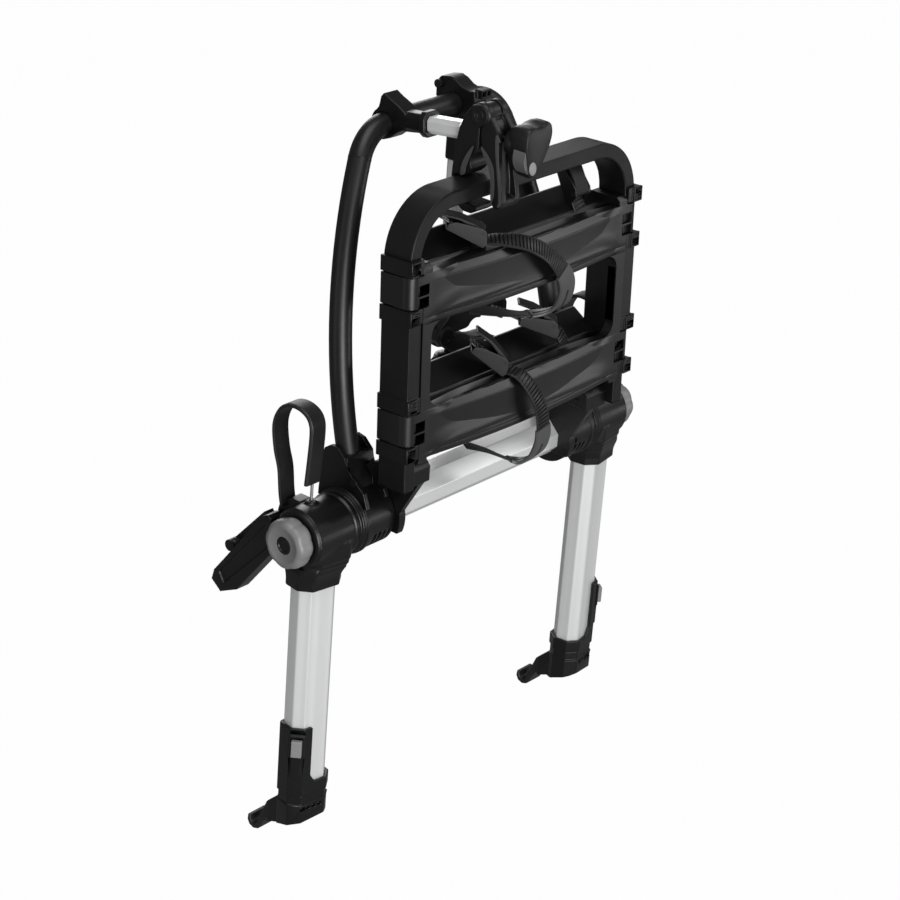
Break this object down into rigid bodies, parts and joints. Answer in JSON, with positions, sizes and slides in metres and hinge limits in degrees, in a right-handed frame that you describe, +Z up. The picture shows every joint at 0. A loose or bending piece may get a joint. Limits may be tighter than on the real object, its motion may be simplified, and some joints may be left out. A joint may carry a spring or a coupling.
{
  "type": "trunk mounted bike rack",
  "caption": "Folding trunk bike rack with two wheel trays, an arch, clamping frame holders, hooks and telescopic feet, stored upright.",
  "frame": {"origin": "the middle of the line through the two lower hooks' seats", "axes": "+X along the main tube to the rack's right as seen from behind the car, +Y forward to the car, +Z up"},
  "size_m": [0.696, 0.29, 1.021],
  "materials": {
    "black_coated_metal": "satin",
    "silver_aluminium": "satin",
    "black_plastic": "fine texture",
    "dark_grey_plastic": "satin",
    "grey_plastic": "satin",
    "strap_rubber": "matte",
    "bright_steel": "brushed"
  },
  "bodies": {
    "frame": {"main_tube": "silver_aluminium", "arch_tube": "black_coated_metal", "arch_bracket_left": "black_plastic", "arch_bracket_right": "black_plastic", "fold_bracket_left": "black_plastic", "fold_bracket_right": "black_plastic", "arch_clamp_left": "black_plastic", "arch_clamp_right": "black_plastic", "fasteners": "bright_steel"},
    "platform": {"loop_bar": "black_coated_metal", "end_plate_left": "black_plastic", "end_plate_right": "black_plastic", "bar_clips_left": "black_plastic", "bar_clips_right": "black_plastic", "tray_upper": "black_plastic", "tray_lower": "black_plastic", "buckle_frames": "black_plastic", "strap_upper_left": "strap_rubber", "strap_upper_right": "strap_rubber", "strap_lower_left": "strap_rubber", "strap_lower_right": "strap_rubber", "holder_arm_front": "silver_aluminium", "claw_body_front": "black_plastic"},
    "leg_left": {"hub_housing_left": "black_plastic", "leg_tube_left": "silver_aluminium", "leg_collar_left": "black_plastic", "pull_strap_left": "strap_rubber", "hook_cable_left": "bright_steel"},
    "dial_left": {"tension_dial_left": "grey_plastic"},
    "upper_hook_left": {"hook_arm_left": "black_plastic", "hook_blade_left": "bright_steel"},
    "foot_slide_left": {"foot_left": "black_plastic", "foot_hook_left": "strap_rubber", "extension_tube_left": "silver_aluminium"},
    "button_left": {"release_button_left": "grey_plastic"},
    "leg_right": {"hub_housing_right": "black_plastic", "leg_tube_right": "silver_aluminium", "leg_collar_right": "black_plastic", "pull_strap_right": "strap_rubber", "hook_cable_right": "bright_steel"},
    "dial_right": {"tension_dial_right": "grey_plastic"},
    "upper_hook_right": {"hook_arm_right": "black_plastic", "hook_blade_right": "bright_steel"},
    "foot_slide_right": {"foot_right": "black_plastic", "foot_hook_right": "strap_rubber", "extension_tube_right": "silver_aluminium"},
    "button_right": {"release_button_right": "grey_plastic"},
    "lever_upper_left": {"lever_upper_left": "dark_grey_plastic"},
    "lever_upper_right": {"lever_upper_right": "dark_grey_plastic"},
    "lever_lower_left": {"lever_lower_left": "dark_grey_plastic"},
    "lever_lower_right": {"lever_lower_right": "dark_grey_plastic"},
    "jaw_front": {"claw_jaw_front": "black_plastic"},
    "knob_front": {"claw_knob_front": "dark_grey_plastic"},
    "rear_holder": {"holder_arm_rear": "silver_aluminium", "claw_body_rear": "black_plastic"},
    "jaw_rear": {"claw_jaw_rear": "black_plastic"},
    "knob_rear": {"claw_knob_rear": "dark_grey_plastic"}
  },
  "joints": [
    {"name": "leg_tilt_left", "type": "hinge", "parent": "frame", "child": "leg_left", "pos_m": [-0.291, -0.066, 0.464], "axis": [1, 0, 0], "range_deg": [-15, 35]},
    {"name": "dial_turn_left", "type": "hinge", "parent": "leg_left", "child": "dial_left", "pos_m": [-0.335, -0.066, 0.464], "axis": [1, 0, 0], "continuous": true},
    {"name": "hook_swing_left", "type": "hinge", "parent": "leg_left", "child": "upper_hook_left", "pos_m": [-0.301, -0.016, 0.472], "axis": [1, 0, 0], "range_deg": [-5, 45]},
    {"name": "foot_extend_left", "type": "slide", "parent": "leg_left", "child": "foot_slide_left", "axis": [0, 0, -1], "range_m": [0, 0.1]},
    {"name": "button_press_left", "type": "slide", "parent": "leg_left", "child": "button_left", "axis": [0.809, 0.5878, 0], "range_m": [0, 0.003], "stiffness_N_per_m": 400, "springref_m": -0.002},
    {"name": "leg_tilt_right", "type": "hinge", "parent": "frame", "child": "leg_right", "pos_m": [0.291, -0.066, 0.464], "axis": [1, 0, 0], "range_deg": [-15, 35]},
    {"name": "dial_turn_right", "type": "hinge", "parent": "leg_right", "child": "dial_right", "pos_m": [0.335, -0.066, 0.464], "axis": [1, 0, 0], "continuous": true},
    {"name": "hook_swing_right", "type": "hinge", "parent": "leg_right", "child": "upper_hook_right", "pos_m": [0.301, -0.016, 0.472], "axis": [1, 0, 0], "range_deg": [-5, 45]},
    {"name": "foot_extend_right", "type": "slide", "parent": "leg_right", "child": "foot_slide_right", "axis": [0, 0, -1], "range_m": [0, 0.1]},
    {"name": "button_press_right", "type": "slide", "parent": "leg_right", "child": "button_right", "axis": [-0.809, 0.5878, 0], "range_m": [0, 0.003], "stiffness_N_per_m": 400, "springref_m": -0.002},
    {"name": "platform_fold", "type": "hinge", "parent": "frame", "child": "platform", "pos_m": [0, -0.128, 0.546], "axis": [1, 0, 0], "range_deg": [0, 90]},
    {"name": "lever_lift_upper_left", "type": "hinge", "parent": "platform", "child": "lever_upper_left", "pos_m": [-0.07055, -0.12552, 0.84084], "axis": [0.7314, 0.6812, -0.0321], "range_deg": [0, 10]},
    {"name": "lever_lift_upper_right", "type": "hinge", "parent": "platform", "child": "lever_upper_right", "pos_m": [0.134, -0.12257, 0.84563], "axis": [1, 0, 0], "range_deg": [0, 60]},
    {"name": "lever_lift_lower_left", "type": "hinge", "parent": "platform", "child": "lever_lower_left", "pos_m": [-0.02503, -0.14281, 0.6574], "axis": [0.7314, 0.6812, -0.0321], "range_deg": [0, 60]},
    {"name": "lever_lift_lower_right", "type": "hinge", "parent": "platform", "child": "lever_lower_right", "pos_m": [0.09252, -0.12829, 0.67461], "axis": [0.7431, 0.6684, -0.0315], "range_deg": [0, 35]},
    {"name": "jaw_open_front", "type": "hinge", "parent": "platform", "child": "jaw_front", "pos_m": [-0.079, -0.13, 0.998], "axis": [-1, 0, 0], "range_deg": [0, 50]},
    {"name": "knob_turn_front", "type": "hinge", "parent": "jaw_front", "child": "knob_front", "pos_m": [-0.079, -0.18, 0.971], "axis": [0, -1, 0], "continuous": true},
    {"name": "rear_holder_swivel", "type": "hinge", "parent": "frame", "child": "rear_holder", "pos_m": [0.062, 0.03169, 0.884], "axis": [0, 0, 1], "range_deg": [-60, 60]},
    {"name": "jaw_open_rear", "type": "hinge", "parent": "rear_holder", "child": "jaw_rear", "pos_m": [0.044, 0.03169, 0.619], "axis": [0, 1, 0], "range_deg": [0, 50]},
    {"name": "knob_turn_rear", "type": "hinge", "parent": "jaw_rear", "child": "knob_rear", "pos_m": [0.071, 0.03169, 0.569], "axis": [0, 0, -1], "continuous": true}
  ],
  "couplings": [
    {"joint": "leg_tilt_right", "follows": "leg_tilt_left", "ratio": 1}
  ]
}
